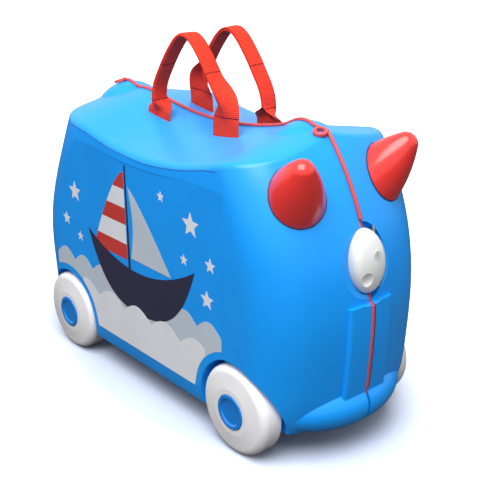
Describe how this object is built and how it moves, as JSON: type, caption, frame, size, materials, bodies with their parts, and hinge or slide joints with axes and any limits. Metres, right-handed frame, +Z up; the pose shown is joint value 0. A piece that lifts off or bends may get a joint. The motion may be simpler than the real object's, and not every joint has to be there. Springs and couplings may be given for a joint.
{
  "type": "ride-on suitcase",
  "caption": "Child's ride-on hard suitcase: hinged clamshell with a saddle top, horn grips, wheels, webbing carry handles, swing catches and tow loops.",
  "frame": {"origin": "on the floor under the middle of the overall box, in the plane of the seam", "axes": "+X towards the horns along the seam, +Y to the right half, +Z up"},
  "size_m": [0.4688, 0.205, 0.3715],
  "materials": {
    "shell_blue": "satin moulded polypropylene, bright blue",
    "seal_red": "soft red elastomer",
    "horn_red": "glossy red",
    "wheel_white": "pearly off-white",
    "cap_blue": "satin blue",
    "catch_white": "glossy white",
    "lock_grey": "light grey",
    "steel": "zinc plated",
    "hinge_grey": "matt dark blue",
    "webbing_red": "ribbed woven webbing"
  },
  "bodies": {
    "left_half": {"left_shell": "shell_blue", "seal_strip": "seal_red", "front_tow_loop": "seal_red", "rear_tow_loop": "seal_red", "left_horn": "horn_red", "left_horn_screw": "steel", "left_hinge_leaf": "hinge_grey", "left_hinge_screws": "steel", "hinge_pin": "steel", "left_handle_feet": "webbing_red", "left_anchor_bars": "steel", "front_left_axle": "steel", "front_left_axle_clip": "steel", "rear_left_axle": "steel", "rear_left_axle_clip": "steel", "front_keeper": "steel", "rear_keeper": "steel"},
    "right_half": {"right_shell": "shell_blue", "right_horn": "horn_red", "right_horn_screw": "steel", "right_hinge_leaf": "hinge_grey", "right_hinge_screws": "steel", "right_handle_feet": "webbing_red", "right_anchor_bars": "steel", "front_right_axle": "steel", "front_right_axle_clip": "steel", "rear_right_axle": "steel", "rear_right_axle_clip": "steel", "front_catch_pin": "steel", "rear_catch_pin": "steel"},
    "front_left_wheel": {"front_left_wheel": "wheel_white", "front_left_hub_cap": "cap_blue"},
    "front_right_wheel": {"front_right_wheel": "wheel_white", "front_right_hub_cap": "cap_blue"},
    "rear_left_wheel": {"rear_left_wheel": "wheel_white", "rear_left_hub_cap": "cap_blue"},
    "rear_right_wheel": {"rear_right_wheel": "wheel_white", "rear_right_hub_cap": "cap_blue"},
    "front_catch": {"front_catch": "catch_white"},
    "front_lock": {"front_lock": "lock_grey"},
    "rear_catch": {"rear_catch": "catch_white"},
    "rear_lock": {"rear_lock": "lock_grey"},
    "left_handle": {"left_handle": "webbing_red"},
    "right_handle": {"right_handle": "webbing_red"}
  },
  "joints": [
    {"name": "clamshell_hinge", "type": "hinge", "parent": "left_half", "child": "right_half", "pos_m": [0, 0, 0.021], "axis": [-1, 0, 0], "range_deg": [0, 145]},
    {"name": "front_left_wheel_spin", "type": "hinge", "parent": "left_half", "child": "front_left_wheel", "pos_m": [0.152, -0.0885, 0.045], "axis": [0, 1, 0], "continuous": true},
    {"name": "front_right_wheel_spin", "type": "hinge", "parent": "right_half", "child": "front_right_wheel", "pos_m": [0.152, 0.0885, 0.045], "axis": [0, 1, 0], "continuous": true},
    {"name": "rear_left_wheel_spin", "type": "hinge", "parent": "left_half", "child": "rear_left_wheel", "pos_m": [-0.139, -0.0885, 0.045], "axis": [0, 1, 0], "continuous": true},
    {"name": "rear_right_wheel_spin", "type": "hinge", "parent": "right_half", "child": "rear_right_wheel", "pos_m": [-0.139, 0.0885, 0.045], "axis": [0, 1, 0], "continuous": true},
    {"name": "front_catch_swing", "type": "hinge", "parent": "right_half", "child": "front_catch", "pos_m": [0.21907, 0.0165, 0.19122], "axis": [-0.1736, 0, 0.9848], "range_deg": [0, 60]},
    {"name": "front_lock_turn", "type": "hinge", "parent": "front_catch", "child": "front_lock", "pos_m": [0.22263, 0.004, 0.19692], "axis": [0.9848, 0, 0.1736], "range_deg": [0, 90]},
    {"name": "rear_catch_swing", "type": "hinge", "parent": "right_half", "child": "rear_catch", "pos_m": [-0.21077, 0.0165, 0.19046], "axis": [-0.342, 0, -0.9397], "range_deg": [0, 60]},
    {"name": "rear_lock_turn", "type": "hinge", "parent": "rear_catch", "child": "rear_lock", "pos_m": [-0.21329, 0.004, 0.1967], "axis": [-0.9397, 0, 0.342], "range_deg": [0, 90]},
    {"name": "left_handle_fold", "type": "hinge", "parent": "left_half", "child": "left_handle", "pos_m": [0.0075, -0.028, 0.284], "axis": [1, 0, 0], "range_deg": [-11, 80]},
    {"name": "right_handle_fold", "type": "hinge", "parent": "right_half", "child": "right_handle", "pos_m": [0.0075, 0.028, 0.284], "axis": [-1, 0, 0], "range_deg": [-11, 80]}
  ]
}
